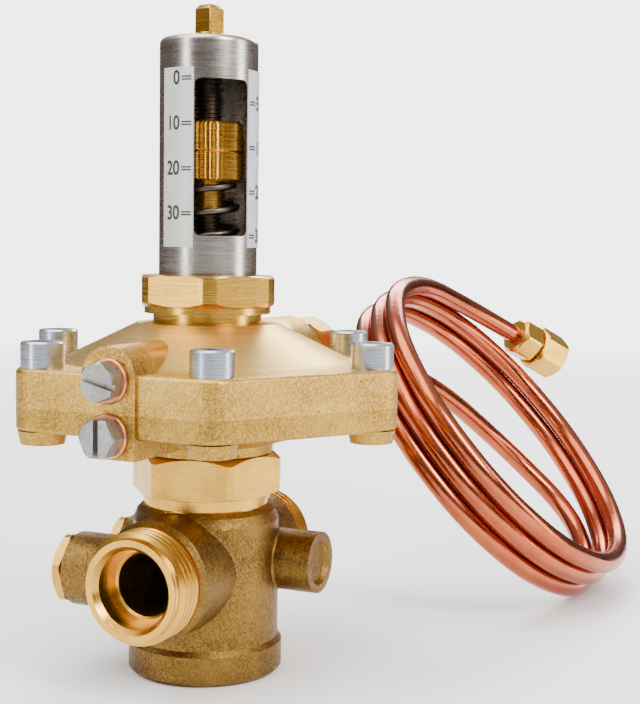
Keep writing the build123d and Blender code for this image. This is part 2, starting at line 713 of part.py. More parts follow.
with BuildPart() as setpoint_nut:
    nut_height = NUT_Z[1] - NUT_Z[0]
    nut_plane = Plane.XY.offset(NUT_Z[0])
    middle_z = nut_height / 2
    with BuildSketch(nut_plane):
        with BuildLine():
            Polyline(*knurl_outline(), close=True)
        make_face()
    extrude(amount=nut_height)
    turn(
        [
            (0, 0),
            (NUT_R - 0.7, 0),
            (NUT_R, 0.7),
            (NUT_R, middle_z - 0.4),
            (NUT_R - 0.6, middle_z),
            (NUT_R, middle_z + 0.4),
            (NUT_R, nut_height - 0.7),
            (NUT_R - 0.7, nut_height),
            (0, nut_height),
        ],
        Mode.INTERSECT,
        nut_plane,
    )
    ring(NUT_NECK_R, 0, NUT_NECK_BOTTOM, NUT_Z[0])
    bore(SPINDLE_R + 0.06, NUT_NECK_BOTTOM, NUT_Z[1])
save(setpoint_nut, "setpoint_nut")


def sweep_round(route, radii, wire_r):
    """Sweep a round bar along straight runs joined by tangent arcs."""
    with BuildLine() as path:
        FilletPolyline(*route, radius=radii)
    with BuildSketch(Plane(path.line @ 0, z_dir=path.line % 0)) as section:
        Circle(wire_r)
    sweep(section.sketch, path=path.line)


def corner_radii(route):
    """For each corner, the radius whose arc takes 0.45 of its shorter run."""
    radii = []
    for before, corner, after in zip(route, route[1:], route[2:]):
        turning = (corner - before).get_angle(after - corner)
        run = min((corner - before).length, (after - corner).length)
        radii.append(0.45 * run / tan(radians(turning / 2)))
    return radii


SPRING_STEPS = 9
spring_pitch = (NUT_Z[0] - SPRING_FOOT_Z - 2 * SPRING_WIRE_R) / SPRING_TURNS
spring_route = [
    Vector(SPRING_R / cos(pi / SPRING_STEPS), 0).rotate(Axis.Z, 360 * k / SPRING_STEPS)
    + Vector(0, 0, SPRING_FOOT_Z + SPRING_WIRE_R + spring_pitch * k / SPRING_STEPS)
    for k in range(SPRING_TURNS * SPRING_STEPS + 1)
]
with BuildPart() as setpoint_spring:
    sweep_round(spring_route, corner_radii(spring_route), SPRING_WIRE_R)
save(setpoint_spring, "setpoint_spring")

# ---------------------------------------------------------------- vent screws
WASHER_T = 1.0
HEX_HEAD_T = 4.0
for name, height, slot_deg, corner_deg in (
    ("upper_vent", UPPER_VENT_Z, -15, 20),
    ("lower_vent", LOWER_VENT_Z, 90, 0),
):
    with BuildPart() as vent_washer:
        rod(vent_plane(height), 5.1, WASHER_T)
        rod(vent_plane(height), VENT_R + 0.05, WASHER_T, Mode.SUBTRACT)
        chamfer(vent_washer.edges().filter_by(GeomType.CIRCLE).group_by(SortBy.RADIUS)[-1], 0.3)
    save(vent_washer, f"{name}_washer")

    head_plane = vent_plane(height).offset(WASHER_T)
    with BuildPart() as vent_screw:
        hexagon_bar(head_plane, 8.0, HEX_HEAD_T, corner_deg)
        turned_limit(head_plane, 4.6, HEX_HEAD_T, 0.1, 0.4, 4.0)
        rod(head_plane, VENT_R - 0.05, -(WASHER_T + VENT_DEPTH - 0.5))
        with BuildSketch(head_plane.offset(HEX_HEAD_T)):
            Rectangle(12.0, 1.3, rotation=slot_deg)
        extrude(amount=-1.7, mode=Mode.SUBTRACT)
    save(vent_screw, f"{name}_screw")

# ---------------------------------------------------------------- impulse connection
NUT_AF = 14.0
adapter_face = impulse_plane.offset(WASHER_T)
TUBE_SOCKET_R = TUBE_OD_R + 0.03
with BuildPart() as adapter_washer:
    rod(impulse_plane, 7.4, WASHER_T)
    rod(impulse_plane, IMPULSE_HOLE_R, WASHER_T, Mode.SUBTRACT)
save(adapter_washer, "adapter_washer")

with BuildPart() as impulse_adapter:
    hexagon_bar(adapter_face, NUT_AF, 5.0, 0)
    turned_limit(adapter_face, 7.8, 5.0, 0.3, 0.5, 6.9)
    rod(adapter_face, IMPULSE_HOLE_R - 0.05, -(WASHER_T + IMPULSE_DEPTH - 0.5))
    rod(adapter_face.offset(5.0), 5.2, 7.0)
    rod(adapter_face.offset(12.0), TUBE_SOCKET_R, -4.0, Mode.SUBTRACT)
    rod(adapter_face.offset(12.0), 2.0, -24.0, Mode.SUBTRACT)
save(impulse_adapter, "impulse_adapter")

with BuildPart() as near_ferrule:
    turn(
        [(TUBE_SOCKET_R, 0), (4.7, 0), (4.7, 0.6), (3.6, 1.8), (TUBE_SOCKET_R, 1.8)],
        plane=adapter_face.offset(12.0),
    )
save(near_ferrule, "near_ferrule")

with BuildPart() as near_nut:
    nut_face = adapter_face.offset(6.0)
    hexagon_bar(nut_face, NUT_AF, 11.5, 30)
    turned_limit(nut_face, 7.8, 11.5, 0.4, 1.6, 6.2)
    rod(nut_face, 5.25, 7.9, Mode.SUBTRACT)
    rod(nut_face, TUBE_SOCKET_R + 0.05, 11.5, Mode.SUBTRACT)
save(near_nut, "near_nut")

# ---------------------------------------------------------------- impulse tube
coil_axis = Vector(cos(radians(COIL_TILT_DEG)), 0, sin(radians(COIL_TILT_DEG)))
coil_plane = Plane(
    COIL_CENTRE, x_dir=(sin(radians(COIL_TILT_DEG)), 0, -cos(radians(COIL_TILT_DEG))), z_dir=coil_axis
)
coil_corner_r = COIL_R / cos(radians(COIL_STEP_DEG / 2))


def coil_point(step, radius=coil_corner_r):
    """A point of the coil, one COIL_STEP_DEG further round for each step."""
    angle = radians(COIL_START_DEG + step * COIL_STEP_DEG)
    rise = COIL_FIRST_RISE + COIL_PITCH * step * COIL_STEP_DEG / 360
    return coil_plane.from_local_coords(Vector(radius * cos(angle), -radius * sin(angle), rise))


tube_start = adapter_face.offset(8.5).origin
lead_points = [
    tube_start,
    Vector(0, 80, IMPULSE_Z),
    Vector(17.8, 123.5, 60.2),
    Vector(33, 151, 38),
    Vector(56, 153, 17),
]
coil_points = [coil_point(step) for step in range(COIL_STEPS)]
# the last run eases outwards, so that the far nut stays clear of the turn beside it
far_aim = coil_point(COIL_STEPS, coil_corner_r + 7.0) + coil_axis * 3.0
far_direction = (far_aim - coil_points[-1]).normalized()
tube_end = coil_points[-1] + far_direction * FAR_TAIL
tube_route = lead_points + coil_points + [tube_end]
tube_radii = corner_radii(tube_route)

with BuildPart() as impulse_tube:
    sweep_round(tube_route, tube_radii, TUBE_OD_R)
save(impulse_tube, "impulse_tube")

# ---------------------------------------------------------------- far coupling
FAR_NUT_AF = 12.0
FAR_THREAD_R = 4.28        # G 1/8 female thread, minor radius
FAR_NUT_LENGTH = 8.0
far_face = Plane(tube_end - far_direction * 6.5, z_dir=far_direction)
coupling_face = far_face.offset(3.2)

with BuildPart() as far_nut:
    hexagon_bar(far_face, FAR_NUT_AF, FAR_NUT_LENGTH, 0)
    turned_limit(far_face, 6.7, FAR_NUT_LENGTH, 1.4, 0.4, 5.3)
    rod(far_face, TUBE_SOCKET_R + 0.05, FAR_NUT_LENGTH, Mode.SUBTRACT)
    rod(far_face.offset(2.0), 4.95, FAR_NUT_LENGTH, Mode.SUBTRACT)
save(far_nut, "far_nut")

with BuildPart() as far_ferrule:
    turn(
        [(TUBE_SOCKET_R, 0), (3.5, 0), (4.4, 0.9), (4.4, 1.15), (TUBE_SOCKET_R, 1.15)],
        plane=far_face.offset(2.02),
    )
save(far_ferrule, "far_ferrule")

with BuildPart() as far_coupling:
    body_face = coupling_face.offset(5.6)
    hexagon_bar(body_face, NUT_AF, 11.0, 30)
    turned_limit(body_face, 7.8, 11.0, 0.8, 0.8, 6.6)
    rod(body_face, 4.9, -5.6)
    rod(coupling_face, TUBE_SOCKET_R, 3.5, Mode.SUBTRACT)
    rod(coupling_face, 2.0, 16.0, Mode.SUBTRACT)
    rod(body_face.offset(11.0), FAR_THREAD_R, -8.0, Mode.SUBTRACT)
save(far_coupling, "far_coupling")

print("corner radii of the tube, mm:", [round(radius, 1) for radius in tube_radii])
print("far coupling mouth:", body_face.offset(11.0).origin, "axis:", far_direction)
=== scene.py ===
"""Looks for a three-way differential pressure valve with a spring tube and a coiled impulse line.

The CAD nodes keep their shapes and are dressed in procedural finishes.  New pieces are the
printed scales, the setpoint spring, the threaded spindle and the studio they stand in.
All sizes are in metres, in the valve's own frame: +Z runs up the spindle.
"""
import logging
import math
from dataclasses import dataclass, field
from enum import Enum
from typing import Optional, Sequence

import bpy
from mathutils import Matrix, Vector


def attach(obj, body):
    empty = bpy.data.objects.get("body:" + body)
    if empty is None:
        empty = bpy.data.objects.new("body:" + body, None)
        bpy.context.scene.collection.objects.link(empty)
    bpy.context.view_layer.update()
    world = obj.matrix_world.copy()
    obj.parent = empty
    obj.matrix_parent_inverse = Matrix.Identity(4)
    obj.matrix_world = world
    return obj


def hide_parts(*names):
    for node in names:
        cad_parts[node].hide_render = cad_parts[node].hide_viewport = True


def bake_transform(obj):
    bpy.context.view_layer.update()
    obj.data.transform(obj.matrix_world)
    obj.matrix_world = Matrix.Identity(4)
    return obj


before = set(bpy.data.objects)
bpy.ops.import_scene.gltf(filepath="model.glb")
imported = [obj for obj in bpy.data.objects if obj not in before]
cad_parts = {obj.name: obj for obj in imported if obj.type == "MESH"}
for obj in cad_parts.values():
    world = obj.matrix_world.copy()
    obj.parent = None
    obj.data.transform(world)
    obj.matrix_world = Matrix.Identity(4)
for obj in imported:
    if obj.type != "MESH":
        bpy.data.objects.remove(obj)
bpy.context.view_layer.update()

LOG = logging.getLogger("valve")
MM = 0.001

Colour = tuple[float, float, float]
Point = tuple[float, float, float]


class Lay(Enum):
    """Which way a tool or a brush ran over a piece, as the turn of its pattern in degrees."""

    UPRIGHT = (0.0, 0.0, 0.0)
    ALONG_Y = (90.0, 0.0, 0.0)
    ALONG_X = (0.0, 90.0, 0.0)
    FAR_FITTING = (-63.9, 0.0, -36.5)


# ---------------------------------------------------------------- node helper
class Graph:
    """A short way to write a material's node tree."""

    def __init__(self, name: str) -> None:
        """Start an empty material with a Principled shader.

        Args:
            name: the material's name.
        """
        self.material = bpy.data.materials.new(name)
        self.material.use_nodes = True
        self.tree = self.material.node_tree
        self.tree.nodes.clear()
        self.output = self.tree.nodes.new("ShaderNodeOutputMaterial")
        self.shader = self.tree.nodes.new("ShaderNodeBsdfPrincipled")
        self.join(self.shader.outputs[0], self.output.inputs["Surface"])
        self.coords = self.tree.nodes.new("ShaderNodeTexCoord").outputs["Object"]

    def join(self, source: bpy.types.NodeSocket, target: bpy.types.NodeSocket) -> None:
        """Link two sockets."""
        self.tree.links.new(source, target)

    def mapped(
        self, scale: Point, turn: Point = (0, 0, 0), centre: Point = (0, 0, 0)
    ) -> bpy.types.NodeSocket:
        """Centre, turn and stretch the object's coordinates.

        Args:
            scale: the stretch along each turned axis.
            turn: the pattern's turn in degrees.
            centre: the point that becomes the pattern's origin.

        Returns:
            The vector socket.
        """
        shift = self.tree.nodes.new("ShaderNodeVectorMath")
        shift.operation = "SUBTRACT"
        shift.inputs[1].default_value = centre
        self.join(self.coords, shift.inputs[0])
        node = self.tree.nodes.new("ShaderNodeMapping")
        node.vector_type = "POINT"
        node.inputs["Rotation"].default_value = [math.radians(a) for a in turn]
        self.join(shift.outputs[0], node.inputs["Vector"])
        stretch = self.tree.nodes.new("ShaderNodeVectorMath")
        stretch.operation = "MULTIPLY"
        stretch.inputs[1].default_value = scale
        self.join(node.outputs[0], stretch.inputs[0])
        return stretch.outputs[0]

    def noise(
        self, vector: bpy.types.NodeSocket, detail: float = 4.0, rough: float = 0.55
    ) -> bpy.types.NodeSocket:
        """Add a noise texture of unit scale on the vector and return its value socket."""
        node = self.tree.nodes.new("ShaderNodeTexNoise")
        node.inputs["Scale"].default_value = 1.0
        node.inputs["Detail"].default_value = detail
        node.inputs["Roughness"].default_value = rough
        self.join(vector, node.inputs["Vector"])
        return node.outputs["Fac"]

    def cells(self, vector: bpy.types.NodeSocket) -> bpy.types.NodeSocket:
        """Add a Voronoi texture of unit scale on the vector and return its distance socket."""
        node = self.tree.nodes.new("ShaderNodeTexVoronoi")
        node.inputs["Scale"].default_value = 1.0
        self.join(vector, node.inputs["Vector"])
        return node.outputs["Distance"]

    def spread(
        self, value: bpy.types.NodeSocket, low: float, high: float, to_low: float, to_high: float
    ) -> bpy.types.NodeSocket:
        """Map a value from one span to another, held within its ends.

        Args:
            value: the socket to read.
            low: the value that gives to_low.
            high: the value that gives to_high.
            to_low: the result at low.
            to_high: the result at high.

        Returns:
            The mapped value socket.
        """
        node = self.tree.nodes.new("ShaderNodeMapRange")
        node.inputs["From Min"].default_value = low
        node.inputs["From Max"].default_value = high
        node.inputs["To Min"].default_value = to_low
        node.inputs["To Max"].default_value = to_high
        self.join(value, node.inputs["Value"])
        return node.outputs["Result"]

    def blend(self, factor: bpy.types.NodeSocket, first, second) -> bpy.types.NodeSocket:
        """Mix two colours, each a plain colour or a socket.

        Args:
            factor: 0 gives the first and 1 the second.
            first: the first colour.
            second: the second colour.

        Returns:
            The colour socket.
        """
        node = self.tree.nodes.new("ShaderNodeMix")
        node.data_type = "RGBA"
        self.join(factor, node.inputs[0])
        for socket, colour in ((node.inputs[6], first), (node.inputs[7], second)):
            if isinstance(colour, bpy.types.NodeSocket):
                self.join(colour, socket)
            else:
                socket.default_value = (*colour, 1.0)
        return node.outputs[2]

    def maths(self, operation: str, first, second) -> bpy.types.NodeSocket:
        """Combine two values, each a number or a socket, and return the result's socket."""
        node = self.tree.nodes.new("ShaderNodeMath")
        node.operation = operation
        for socket, value in ((node.inputs[0], first), (node.inputs[1], second)):
            if isinstance(value, bpy.types.NodeSocket):
                self.join(value, socket)
            else:
                socket.default_value = value
        return node.outputs[0]

    def from_axis(self) -> tuple[bpy.types.NodeSocket, bpy.types.NodeSocket]:
        """Return sockets for the distance from the valve's axis and for the height."""
        parts = self.tree.nodes.new("ShaderNodeSeparateXYZ")
        self.join(self.coords, parts.inputs[0])
        squares = [self.maths("POWER", parts.outputs[i], 2.0) for i in (0, 1)]
        return self.maths("SQRT", self.maths("ADD", *squares), 0.0), parts.outputs[2]

    def bump(
        self, height: bpy.types.NodeSocket, depth: float, strength: float = 1.0
    ) -> bpy.types.NodeSocket:
        """Raise the surface by a height pattern.

        Args:
            height: the pattern, 0 to 1.
            depth: its relief in metres.
            strength: how much of it shows.

        Returns:
            The normal socket.
        """
        node = self.tree.nodes.new("ShaderNodeBump")
        node.inputs["Strength"].default_value = strength
        node.inputs["Distance"].default_value = depth
        self.join(height, node.inputs["Height"])
        return node.outputs[0]


# ---------------------------------------------------------------- finishes
@dataclass(frozen=True)
class CastMetal:
    """Sand-cast brass or bronze: a fine grain, broad mottling and scattered pits."""

    name: str
    colour: Colour
    shade: Colour
    bright: Colour
    roughness: float = 0.42
    grain: float = 1.0
    pits: float = 1.0
    turned_above: Optional[float] = None
    turned_radius: float = 0.0365
    turned_roughness: float = 0.34
    turned_relief: float = 0.18
    relief: float = 0.00022

    def build(self) -> bpy.types.Material:
        """Make the material.

        Returns:
            The finished material.
        """
        g = Graph(self.name)
        fine = g.noise(g.mapped((1900, 1900, 1900)), 5.0, 0.62)
        coarse = g.noise(g.mapped((620, 620, 620), centre=(0.01, 0.02, 0)), 3.0, 0.6)
        broad = g.noise(g.mapped((55, 55, 75), centre=(0.3, 0.1, 0)), 4.0, 0.6)
        pit = g.spread(g.cells(g.mapped((340, 340, 340))), 0.04, 0.17, 1.0, 0.0)
        scarce = g.spread(g.noise(g.mapped((120, 120, 120)), 2.0), 0.55, 0.64, 0.0, 1.0)
        pit = g.maths("MULTIPLY", pit, scarce)
        tone = g.blend(g.spread(broad, 0.36, 0.66, 0.0, 1.0), self.shade, self.colour)
        tone = g.blend(g.spread(fine, 0.42, 0.68, 0.0, 0.75), tone, self.bright)
        tone = g.blend(g.maths("MULTIPLY", pit, 0.8 * self.pits), tone, tuple(0.28 * c for c in self.shade))
        rough = g.spread(coarse, 0.3, 0.7, self.roughness - 0.08, self.roughness + 0.12)
        relief = g.maths("ADD", g.maths("MULTIPLY", fine, 0.5), coarse)
        relief = g.maths("SUBTRACT", relief, g.maths("MULTIPLY", pit, 1.1 * self.pits))
        if self.turned_above is not None:
            mask = self._turned_mask(g)
            lathe = g.noise(self._rings(g), 3.0, 0.7)
            satin = g.blend(g.spread(lathe, 0.35, 0.65, 0.0, 1.0), self.colour, self.bright)
            tone = g.blend(mask, tone, satin)
            raw = g.maths("SUBTRACT", 1.0, mask)
            turned_rough = g.maths("MULTIPLY", mask, self.turned_roughness)
            rough = g.maths("ADD", g.maths("MULTIPLY", rough, raw), turned_rough)
            kept = g.maths("SUBTRACT", 1.0, g.maths("MULTIPLY", mask, 1.0 - self.turned_relief))
            lines = g.maths("MULTIPLY", lathe, g.maths("MULTIPLY", mask, self.turned_relief))
            relief = g.maths("ADD", g.maths("MULTIPLY", relief, kept), lines)
        g.shader.inputs["Metallic"].default_value = 1.0
        g.join(tone, g.shader.inputs["Base Color"])
        g.join(rough, g.shader.inputs["Roughness"])
        g.join(g.bump(relief, self.relief * self.grain, 0.75), g.shader.inputs["Normal"])
        return g.material

    def _turned_mask(self, g: Graph) -> bpy.types.NodeSocket:
        """Return 1 on the cone that a lathe cleaned up, and 0 on the raw casting."""
        radius, height = g.from_axis()
        inside = g.spread(radius, self.turned_radius - 0.0006, self.turned_radius + 0.0006, 1.0, 0.0)
        above = g.spread(height, self.turned_above - 0.0004, self.turned_above + 0.0004, 0.0, 1.0)
        return g.maths("MULTIPLY", inside, above)

    def _rings(self, g: Graph) -> bpy.types.NodeSocket:
        """Return a vector that changes with radius, so that noise on it makes turning rings."""
        radius, height = g.from_axis()
        join = g.tree.nodes.new("ShaderNodeCombineXYZ")
        g.join(g.maths("MULTIPLY", radius, 3200.0), join.inputs[0])
        g.join(g.maths("MULTIPLY", height, 3200.0), join.inputs[1])
        return join.outputs[0]


@dataclass(frozen=True)
class TurnedMetal:
    """A machined metal: fine tool lines round its axis, with a softly uneven tone."""

    name: str
    colour: Colour
    shade: Colour
    roughness: float = 0.22
    lay: Lay = Lay.UPRIGHT
    centre: Point = (0.0, 0.0, 0.0)
    line: float = 4200.0
    depth: float = 0.00004
    stain: float = 0.35
    speck: float = 0.0
    scratched: float = 0.2

    def build(self) -> bpy.types.Material:
        """Make the material.

        Returns:
            The finished material.
        """
        g = Graph(self.name)
        turn = self.lay.value
        lines = g.noise(g.mapped((90, 90, self.line), turn, self.centre), 3.0, 0.7)
        scratch = g.noise(g.mapped((240, 240, self.line * 2.1), turn, self.centre), 2.0, 0.5)
        cloud = g.noise(g.mapped((110, 110, 110), centre=(0.2, 0.4, 0.1)), 4.0, 0.6)
        spots = g.noise(g.mapped((900, 900, 900)), 3.0, 0.6)
        stained = tuple(c * (1 - self.stain) + s * self.stain for c, s in zip(self.colour, self.shade))
        tone = g.blend(g.spread(cloud, 0.35, 0.7, 0.0, 1.0), self.colour, stained)
        tone = g.blend(g.spread(scratch, 0.54, 0.78, 0.0, self.scratched), tone, self.shade)
        if self.speck:
            dark = tuple(0.45 * c for c in self.shade)
            tone = g.blend(g.spread(spots, 0.56, 0.66, 0.0, self.speck), tone, dark)
        uneven = g.maths("ADD", g.maths("MULTIPLY", lines, 0.6), g.maths("MULTIPLY", cloud, 0.4))
        rough = g.spread(uneven, 0.35, 0.65, self.roughness - 0.05, self.roughness + 0.1)
        relief = g.maths("ADD", lines, g.maths("MULTIPLY", spots, 0.25 + self.speck))
        g.shader.inputs["Metallic"].default_value = 1.0
        g.join(tone, g.shader.inputs["Base Color"])
        g.join(rough, g.shader.inputs["Roughness"])
        g.join(g.bump(relief, self.depth, 0.55), g.shader.inputs["Normal"])
        return g.material


@dataclass(frozen=True)
class Moulded:
    """A plain non-metal: rubber, PTFE or printed film, with a fine uneven surface."""

    name: str
    colour: Colour
    shade: Colour
    roughness: float = 0.5
    grain: float = 2500.0
    depth: float = 0.00003
    coat: float = 0.0

    def build(self) -> bpy.types.Material:
        """Make the material.

        Returns:
            The finished material.
        """
        g = Graph(self.name)
        cloud = g.noise(g.mapped((160, 160, 160), centre=(0.1, 0.3, 0.2)), 4.0, 0.6)
        fine = g.noise(g.mapped((self.grain, self.grain, self.grain)), 3.0, 0.6)
        tone = g.blend(g.spread(cloud, 0.3, 0.7, 0.0, 1.0), self.colour, self.shade)
        g.join(tone, g.shader.inputs["Base Color"])
        rough = g.spread(fine, 0.3, 0.7, self.roughness - 0.06, self.roughness + 0.08)
        g.join(rough, g.shader.inputs["Roughness"])
        g.join(g.bump(fine, self.depth, 0.5), g.shader.inputs["Normal"])
        g.shader.inputs["Coat Weight"].default_value = self.coat
        g.shader.inputs["Coat Roughness"].default_value = 0.25
        return g.material


@dataclass
class Finishes:
    """Every finish on the valve, built once and handed out by name."""

    made: dict[str, bpy.types.Material] = field(default_factory=dict)

    def build(self) -> "Finishes":
        """Make all the materials.

        Returns:
            This object, filled.
        """
        gold = (0.72, 0.405, 0.062)
        gold_shade = (0.34, 0.16, 0.018)
        copper = (0.47, 0.115, 0.050)
        copper_shade = (0.26, 0.048, 0.020)
        steel = (0.52, 0.49, 0.45)
        steel_shade = (0.25, 0.20, 0.17)
        zinc = (0.50, 0.54, 0.60)
        zinc_shade = (0.25, 0.27, 0.31)
        recipes = [
            CastMetal(
                "cast_body", (0.195, 0.108, 0.025), (0.085, 0.042, 0.010), (0.36, 0.215, 0.055),
                0.42, 1.0, 0.7,
            ),
            CastMetal(
                "cast_cover", (0.54, 0.315, 0.055), (0.29, 0.145, 0.018), (0.80, 0.54, 0.15), 0.42,
                0.9, 0.9, 0.0776,
            ),
            CastMetal(
                "cast_lower", (0.43, 0.245, 0.040), (0.21, 0.105, 0.014), (0.65, 0.41, 0.095),
                0.44, 1.0, 1.0,
            ),
            TurnedMetal("brass_upright", gold, gold_shade, 0.24),
            TurnedMetal("brass_along_y", gold, gold_shade, 0.26, Lay.ALONG_Y),
            TurnedMetal(
                "brass_plug", (0.66, 0.38, 0.07), (0.34, 0.17, 0.03), 0.28, Lay.ALONG_X, stain=0.6,
            ),
            TurnedMetal("brass_far", gold, gold_shade, 0.26, Lay.FAR_FITTING),
            TurnedMetal(
                "stainless_tube", steel, steel_shade, 0.25, line=5200.0, depth=0.000025, stain=0.2,
                scratched=0.1,
            ),
            # Stem and plates inside the housing: stainless painted darker and browner, as painted shade of
            # the closed interior.
            TurnedMetal("stainless_inner_painted_shade", (0.42, 0.36, 0.30), (0.16, 0.12, 0.10), 0.28, stain=0.6),
            TurnedMetal("zinc_screw", zinc, zinc_shade, 0.26, line=2600.0, stain=0.5, speck=0.12),
            TurnedMetal(
                "vent_steel", (0.36, 0.36, 0.35), (0.17, 0.16, 0.15), 0.40, Lay.ALONG_Y,
                depth=0.00012, stain=0.6, speck=0.55,
            ),
            TurnedMetal("spring_wire", (0.115, 0.10, 0.085), (0.04, 0.03, 0.025), 0.30, stain=0.5),
            # Spindle thread: brass painted dark brown, as painted shade inside the spring tube.
            TurnedMetal("spindle_painted_shade", (0.17, 0.12, 0.09), (0.06, 0.04, 0.03), 0.30, stain=0.5),
            TurnedMetal(
                "copper_pipe", copper, copper_shade, 0.19, line=160.0, depth=0.00001, stain=0.5,
                scratched=0.08,
            ),
            TurnedMetal(
                "copper_washer", (0.68, 0.29, 0.14), copper_shade, 0.36, Lay.ALONG_Y, stain=0.5,
                speck=0.15,
            ),
            Moulded("rubber", (0.020, 0.020, 0.022), (0.035, 0.034, 0.034), 0.62, 1800.0, 0.00006),
            Moulded("ptfe", (0.82, 0.82, 0.80), (0.74, 0.74, 0.71), 0.42),
            Moulded("scale_film", (0.56, 0.60, 0.54), (0.50, 0.53, 0.49), 0.36, 3000.0, 0.00001, 0.4),
            Moulded("scale_film_cool", (0.56, 0.55, 0.61), (0.50, 0.48, 0.55), 0.36, 3000.0, 0.00001, 0.4),
            Moulded("scale_ink", (0.015, 0.015, 0.018), (0.028, 0.028, 0.028), 0.5),
        ]
        for recipe in recipes:
            self.made[recipe.name] = recipe.build()
            LOG.info("finish %s", recipe.name)
        return self

    def dress(self, obj: bpy.types.Object, name: str) -> None:
        """Give the whole of an object one finish.

        Args:
            obj: the object, a CAD node or a new piece.
            name: the finish.
        """
        if obj.data.materials:
            for i in range(len(obj.data.materials)):
                obj.data.materials[i] = self.made[name]
        else:
            obj.data.materials.append(self.made[name])


# ---------------------------------------------------------------- modelling helpers
def deselect() -> None:
    """Leave nothing selected and no object in edit mode."""
    if bpy.context.object and bpy.context.object.mode != "OBJECT":
        bpy.ops.object.mode_set(mode="OBJECT")
    bpy.ops.object.select_all(action="DESELECT")


def activate(obj: bpy.types.Object) -> None:
    """Make one object the only selected and active one."""
    deselect()
    obj.select_set(True)
    bpy.context.view_layer.objects.active = obj


def settle(obj: bpy.types.Object, smooth_deg: float = 35.0) -> None:
    """Apply an object's place to its mesh, recalculate its normals and shade it.

    Args:
        obj: the finished mesh object.
        smooth_deg: edges sharper than this stay sharp.
    """
    activate(obj)
    bpy.ops.object.transform_apply(location=True, rotation=True, scale=True)
    bpy.ops.object.mode_set(mode="EDIT")
    bpy.ops.mesh.select_all(action="SELECT")
    bpy.ops.mesh.remove_doubles(threshold=1e-6)
    bpy.ops.mesh.normals_make_consistent(inside=False)
    bpy.ops.object.mode_set(mode="OBJECT")
    bpy.ops.object.shade_smooth_by_angle(angle=math.radians(smooth_deg))


def add_modifier(obj: bpy.types.Object, kind: str, **settings: object) -> None:
    """Add one modifier with its settings and apply it.

    Args:
        obj: the mesh object.
        kind: Blender's name of the modifier type.
        **settings: the modifier's settings.
    """
    activate(obj)
    modifier = obj.modifiers.new(kind.title(), kind)
    for key, value in settings.items():
        setattr(modifier, key, value)
    bpy.ops.object.modifier_apply(modifier=modifier.name)


def wind(obj: bpy.types.Object, pitch: float, turns: int, steps: int) -> None:
    """Wind a closed outline up round the valve's axis.

    Args:
        obj: the outline, clear of the axis.
        pitch: the rise of one turn.
        turns: the number of turns.
        steps: the flats in one turn.
    """
    add_modifier(
        obj,
        "SCREW",
        axis="Z",
        angle=math.tau,
        steps=steps,
        render_steps=steps,
        screw_offset=pitch,
        iterations=turns,
        use_merge_vertices=False,
    )


def soften(obj: bpy.types.Object, width: float, segments: int, over_deg: float) -> None:
    """Bevel an object's sharp edges.

    Args:
        obj: the mesh object.
        width: the bevel's width.
        segments: its number of steps.
        over_deg: edges that turn by more than this are beveled.
    """
    add_modifier(
        obj,
        "BEVEL",
        width=width,
        segments=segments,
        limit_method="ANGLE",
        angle_limit=math.radians(over_deg),
    )


# ---------------------------------------------------------------- sub-assemblies
@dataclass
class Housing:
    """The fixed castings, fittings, screws and seals, which keep their CAD shapes."""

    finishes: Finishes
    nodes: dict[str, str] = field(
        default_factory=lambda: {
            "valve_body": "cast_body",
            "front_tapping_plug": "brass_plug",
            "rear_tapping_plug": "brass_plug",
            "tapping_seals": "copper_washer",
            "bonnet": "brass_upright",
            "bonnet_seal": "copper_washer",
            "stem_guide": "ptfe",
            "stem_seal": "rubber",
            "gland_screw": "brass_upright",
            "lower_cover": "cast_lower",
            "upper_cover": "cast_cover",
            "cover_screws": "zinc_screw",
            "diaphragm": "rubber",
            "top_nut": "brass_upright",
            "spring_tube": "stainless_tube",
            "left_scale_label": "scale_film",
            "right_scale_label": "scale_film_cool",
            "thrust_washer": "ptfe",
            "adapter_washer": "copper_washer",
            "impulse_adapter": "brass_along_y",
            "near_ferrule": "brass_along_y",
            "near_nut": "brass_along_y",
            "impulse_tube": "copper_pipe",
            "far_nut": "brass_far",
            "far_ferrule": "brass_far",
            "far_coupling": "brass_far",
            "valve_stem": "stainless_inner_painted_shade",
            "valve_plug": "brass_upright",
            "plug_seals": "rubber",
            "lower_plate": "stainless_inner_painted_shade",
            "upper_plate": "stainless_inner_painted_shade",
            "stem_nut": "zinc_screw",
            "spring_seat": "brass_upright",
            "adjusting_spindle": "brass_upright",
            "retaining_ring": "spring_wire",
            "setpoint_nut": "brass_upright",
            "setpoint_spring": "spring_wire",
            "upper_vent_washer": "copper_washer",
            "upper_vent_screw": "vent_steel",
            "lower_vent_washer": "copper_washer",
            "lower_vent_screw": "vent_steel",
        }
    )

    def dress(self) -> None:
        """Give every CAD node its finish."""
        for name, finish in self.nodes.items():
            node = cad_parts.get(name)
            if node is None:
                LOG.warning("no node %s", name)
                continue
            self.finishes.dress(node, finish)
            LOG.info("dressed %s in %s", name, finish)


@dataclass
class MachinedBody:
    """Bright machined faces of the valve body: its two threads, port mouths and collar."""

    finishes: Finishes
    neck_end: float = 26.5 * MM
    collar_z: float = 41.5 * MM

    def dress(self) -> None:
        """Assign the bright finish to the faces that a lathe cut on the casting."""
        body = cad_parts["valve_body"]
        bright = self.finishes.made["brass_along_y"]
        upright = self.finishes.made["brass_upright"]
        body.data.materials.append(bright)
        body.data.materials.append(upright)
        first = len(body.data.materials) - 2
        for face in body.data.polygons:
            x, y, z = face.center
            on_port = math.hypot(x, z - 27.0 * MM) < 13.5 * MM
            if abs(y) > self.neck_end - 0.1 * MM and on_port:
                face.material_index = first
            elif z > self.collar_z:
                face.material_index = first + 1
        LOG.info("machined faces dressed on the body")


